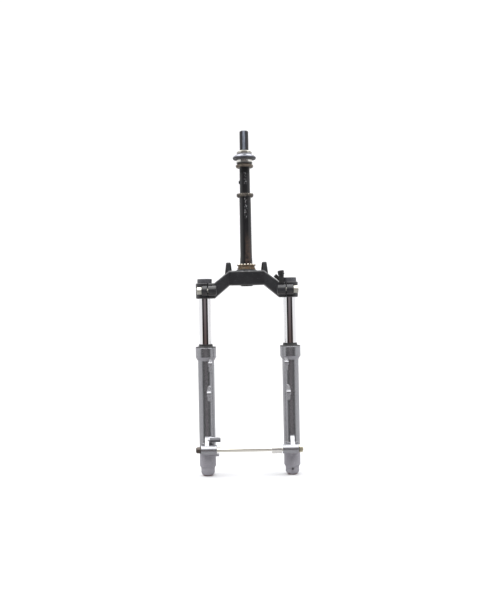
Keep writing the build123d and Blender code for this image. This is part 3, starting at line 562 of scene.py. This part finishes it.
def studio_sweep():
    """A pale floor that curves up into a back wall."""
    outline = [(FLOOR_FRONT, 0.0)]
    for index in range(BEND_STEPS + 1):
        angle = math.pi / 2 * index / BEND_STEPS
        forward, up = BEND_R * math.sin(angle), BEND_R * (1 - math.cos(angle))
        outline.append((WALL_Y - BEND_R + forward, up))
    outline.append((WALL_Y, WALL_TOP))
    verts, faces = [], []
    for y, height in outline:
        verts += [(-HALF_WIDTH, y, FLOOR_Z + height), (HALF_WIDTH, y, FLOOR_Z + height)]
    for index in range(len(outline) - 1):
        a = index * 2
        faces.append((a, a + 1, a + 3, a + 2))
    mesh = bpy.data.meshes.new("studio_sweep")
    mesh.from_pydata(verts, [], faces)
    for face in mesh.polygons:
        face.use_smooth = True
    sweep = bpy.data.objects.new("studio_sweep", mesh)
    bpy.context.scene.collection.objects.link(sweep)
    g = Graph("sweep_white", roughness=0.8, Specular_IOR_Level=0.0)
    g.colour(g.mix(g.noise(2.0, 2), tone(196, 196, 198), tone(202, 202, 203)))
    # The wall glows a little, so that it reads as evenly lit as the floor.
    nz = g.facing()[2]
    g.put(tone(252, 252, 253), g.shader.inputs["Emission Color"])
    glow = g.math("MULTIPLY", g.math("SUBTRACT", 1.0, nz), WALL_GLOW)
    g.put(glow, g.shader.inputs["Emission Strength"])
    mesh.materials.append(g.material)
    # Metal mirrors the room's own gradient, not this floor.
    sweep.visible_glossy = False


def studio_world():
    """Bright ceiling and pale sides, with a dim room in front that metal mirrors.

    The dim room is fixed in the world, so its dark stripes show on the fork's front only.
    """
    world = bpy.data.worlds.new("studio_world")
    bpy.context.scene.world = world
    world.use_nodes = True
    tree = world.node_tree
    back = tree.nodes["Background"]

    def linked(value, socket):
        if isinstance(value, bpy.types.NodeSocket):
            tree.links.new(value, socket)
        else:
            socket.default_value = value

    def maths(operation, first, second=0.0):
        node = tree.nodes.new("ShaderNodeMath")
        node.operation = operation
        linked(first, node.inputs[0])
        linked(second, node.inputs[1])
        return node.outputs[0]

    def ramp_of(value, stops):
        """A colour ramp over 0 to 180 degrees, from (degrees, colour) stops."""
        node = tree.nodes.new("ShaderNodeValToRGB")
        tree.links.new(maths("DIVIDE", value, math.pi), node.inputs["Fac"])
        elements = node.color_ramp.elements
        while len(elements) < len(stops):
            elements.new(0.5)
        for element, (degrees, colour) in zip(elements, stops):
            element.position = degrees / 180
            element.color = colour
        return node.outputs["Color"]

    def mixed(share, first, second):
        node = tree.nodes.new("ShaderNodeMix")
        node.data_type = "RGBA"
        linked(share, node.inputs["Factor"])
        linked(first, node.inputs["A"])
        linked(second, node.inputs["B"])
        return node.outputs["Result"]

    place = tree.nodes.new("ShaderNodeTexCoord")
    split = tree.nodes.new("ShaderNodeSeparateXYZ")
    tree.links.new(place.outputs["Generated"], split.inputs[0])
    x, y, z = split.outputs
    bearing = maths("ABSOLUTE", maths("ARCTAN2", x, maths("MULTIPLY", y, -1.0)))
    room = ramp_of(bearing, [
        (0, tone(124, 116, 118)), (22, tone(98, 92, 94)), (31, tone(26, 24, 25)),
        (50, tone(36, 34, 35)), (59, tone(244, 244, 246)), (180, tone(255, 255, 255)),
    ])
    # Angle down from straight up: ceiling, then the dim room, then the floor's glow.
    fall = maths("ARCCOSINE", z)
    in_room = ramp_of(fall, [(0, (0, 0, 0, 1)), (58, (0, 0, 0, 1)), (72, (1, 1, 1, 1)),
                             (108, (1, 1, 1, 1)), (122, (0, 0, 0, 1)), (180, (0, 0, 0, 1))])
    glow = ramp_of(fall, [(0, tone(255, 255, 255)), (120, tone(255, 255, 255)),
                          (135, tone(215, 215, 217)), (180, tone(215, 215, 217))])
    colour = mixed(in_room, glow, room)
    lift = ramp_of(fall, [(0, (1, 1, 1, 1)), (40, (1, 1, 1, 1)),
                          (56, (0, 0, 0, 1)), (180, (0, 0, 0, 1))])
    strength = maths("ADD", 1.0, maths("MULTIPLY", lift, CEILING_GAIN))
    seen = tree.nodes.new("ShaderNodeLightPath").outputs["Is Camera Ray"]
    tree.links.new(mixed(seen, colour, tone(252, 252, 253)), back.inputs["Color"])
    not_seen = maths("SUBTRACT", 1.0, seen)
    strength = maths("ADD", maths("MULTIPLY", strength, not_seen), seen)
    tree.links.new(strength, back.inputs["Strength"])


def soft_light(name, place, power):
    data = bpy.data.lights.new(name, "AREA")
    data.shape = "DISK"
    data.size = LIGHT_SIZE
    data.energy = power
    light = bpy.data.objects.new(name, data)
    bpy.context.scene.collection.objects.link(light)
    light.location = place
    direction = Vector(LIGHT_TARGET) - Vector(place)
    light.rotation_euler = direction.to_track_quat("-Z", "Y").to_euler()


CAMERA_PLACE = (-0.008, -1.912, -0.0878)
CAMERA_ROLL = math.radians(1.1)
CAMERA_LENS = 43.7


def studio_camera():
    data = bpy.data.cameras.new("camera")
    data.lens = CAMERA_LENS
    data.sensor_width = 36.0
    data.clip_start, data.clip_end = 0.05, 50.0
    camera = bpy.data.objects.new("camera", data)
    bpy.context.scene.collection.objects.link(camera)
    camera.location = CAMERA_PLACE
    camera.rotation_euler = (math.radians(90), CAMERA_ROLL, 0)
    bpy.context.scene.camera = camera


studio_sweep()
studio_world()
soft_light("key", (-1.6, -1.0, 2.2), KEY_POWER)
soft_light("fill", (1.8, -0.8, 1.6), FILL_POWER)
studio_camera()
bpy.context.scene.view_settings.view_transform = "Standard"
